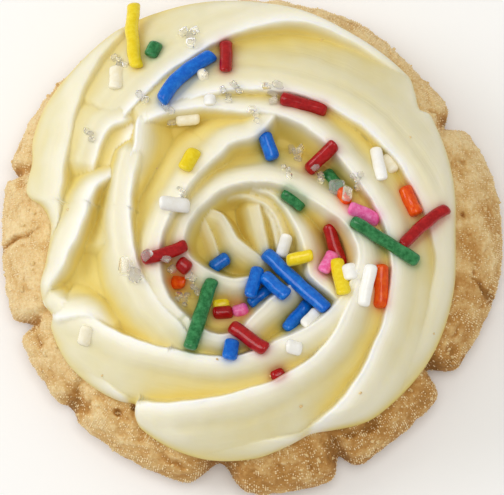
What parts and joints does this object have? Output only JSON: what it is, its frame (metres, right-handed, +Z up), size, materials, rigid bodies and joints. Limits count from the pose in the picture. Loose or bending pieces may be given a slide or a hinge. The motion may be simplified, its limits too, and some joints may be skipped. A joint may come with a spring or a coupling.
{
  "type": "frosted cookie",
  "caption": "Round sugar cookie with a cracked rim under a piped swirl of butter frosting with folded bands and a hollow middle, scattered with rod sprinkles.",
  "frame": {"origin": "middle of the flat underside of the biscuit", "axes": "+Z up out of the frosting, +Y to the top of the picture as the cookie is looked down on, +X to its right"},
  "size_m": [0.071, 0.0712, 0.0241],
  "materials": {
    "baked_biscuit": "baked sugar biscuit, granular and matte",
    "butter_frosting": "butter frosting, smooth and softly waxy",
    "sprinkle_coating": "pressed sugar rods under a thin polish, in mixed colours",
    "sugar_crystal": "clear coarse sugar"
  },
  "bodies": {
    "root": {"biscuit": "baked_biscuit", "frosting": "butter_frosting"}
  },
  "joints": []
}
